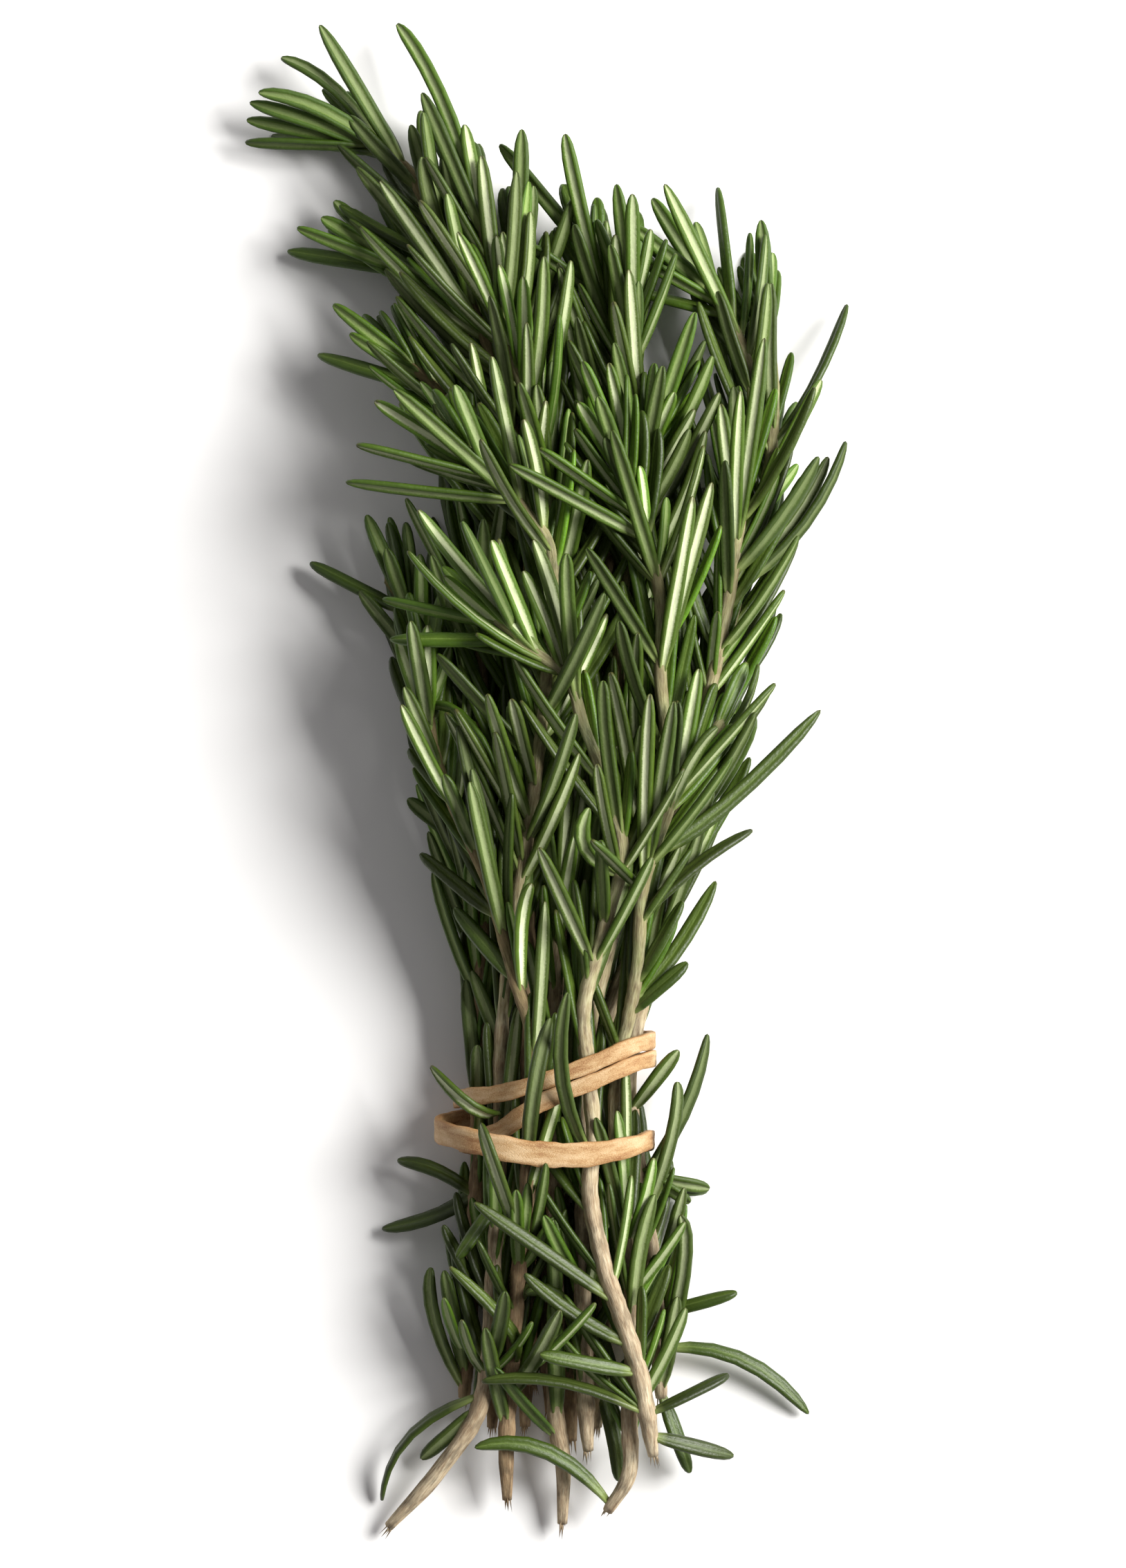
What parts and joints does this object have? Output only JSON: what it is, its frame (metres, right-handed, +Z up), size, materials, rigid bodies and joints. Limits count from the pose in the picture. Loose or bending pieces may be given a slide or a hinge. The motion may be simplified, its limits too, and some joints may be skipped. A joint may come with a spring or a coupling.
{
  "type": "rosemary bundle",
  "caption": "Bundle of cut rosemary sprigs with needle leaves, held by a wound rubber band and lying on its side.",
  "frame": {"origin": "on the table, under the middle of the bundle's length and width", "axes": "+Y from the cut ends to the growing tips, +X across the bundle, +Z up from the table"},
  "size_m": [0.0839, 0.2099, 0.035],
  "materials": {
    "rosemary": "satin dark green needle leaves with pale undersides, on pale tan woody stems",
    "band": "matt tan rubber strip"
  },
  "bodies": {
    "root": {"sprig_01": "rosemary", "sprig_02": "rosemary", "sprig_03": "rosemary", "sprig_04": "rosemary", "sprig_05": "rosemary", "sprig_06": "rosemary", "sprig_07": "rosemary", "sprig_08": "rosemary", "sprig_09": "rosemary", "sprig_10": "rosemary", "sprig_11": "rosemary", "sprig_12": "rosemary", "sprig_13": "rosemary", "sprig_14": "rosemary", "sprig_15": "rosemary", "sprig_16": "rosemary", "rubber_band": "band"}
  },
  "joints": []
}
